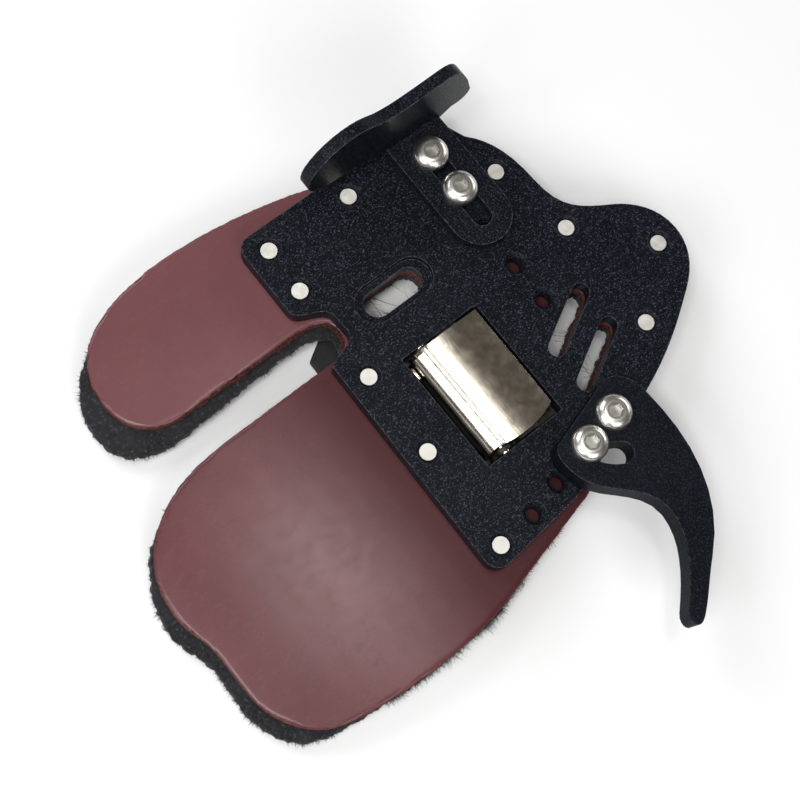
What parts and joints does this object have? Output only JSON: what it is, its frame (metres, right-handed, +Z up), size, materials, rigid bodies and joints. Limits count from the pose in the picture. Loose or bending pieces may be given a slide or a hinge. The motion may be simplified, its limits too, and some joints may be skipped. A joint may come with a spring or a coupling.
{
  "type": "archery finger tab",
  "caption": "Archery finger tab: metal palm plate over leather and suede flaps, with a sliding anchor shelf, a swinging little-finger hook and a cam buckle for the finger strap.",
  "frame": {"origin": "the underside of the third leather screw's head, on the face the part lies on", "axes": "+X across the fingers from the index side to the ring side, +Y from the fingertips to the wrist, +Z up out of the palm plate's outer face"},
  "size_m": [0.0929, 0.1005, 0.0261],
  "materials": {
    "plate_black": "fine-grained black anodised aluminium",
    "face_leather": "satin burgundy leather",
    "suede_black": "napped black suede",
    "nickel": "polished nickel plate",
    "webbing": "close-woven black strap",
    "steel": "bright stainless steel"
  },
  "bodies": {
    "tab": {"palm_plate": "plate_black", "face_leather": "face_leather", "backing_suede": "suede_black", "buckle_frame": "nickel", "buckle_pin": "nickel", "finger_strap": "webbing", "shelf_screw_1": "steel", "shelf_screw_2": "steel", "hook_screw_1": "steel", "hook_screw_2": "steel", "leather_screw_1": "steel", "leather_screw_2": "steel", "leather_screw_3": "steel", "leather_screw_4": "steel", "leather_screw_5": "steel", "leather_screw_6": "steel", "leather_screw_7": "steel", "leather_screw_8": "steel", "leather_screw_9": "steel", "leather_screw_10": "steel"},
    "shelf": {"anchor_shelf": "plate_black"},
    "hook": {"palm_hook": "plate_black"},
    "lever": {"buckle_lever": "nickel"}
  },
  "joints": [
    {"name": "shelf_slide", "type": "slide", "parent": "tab", "child": "shelf", "axis": [-1, 0, 0], "range_m": [0, 0.0055]},
    {"name": "hook_pivot", "type": "hinge", "parent": "tab", "child": "hook", "pos_m": [0.0272, 0.0245, 0.011], "axis": [0, 0, -1], "range_deg": [0, 27]},
    {"name": "lever_flip", "type": "hinge", "parent": "tab", "child": "lever", "pos_m": [0.0114, 0.0092, 0.0085], "axis": [1, 0, 0], "range_deg": [0, 100]}
  ]
}
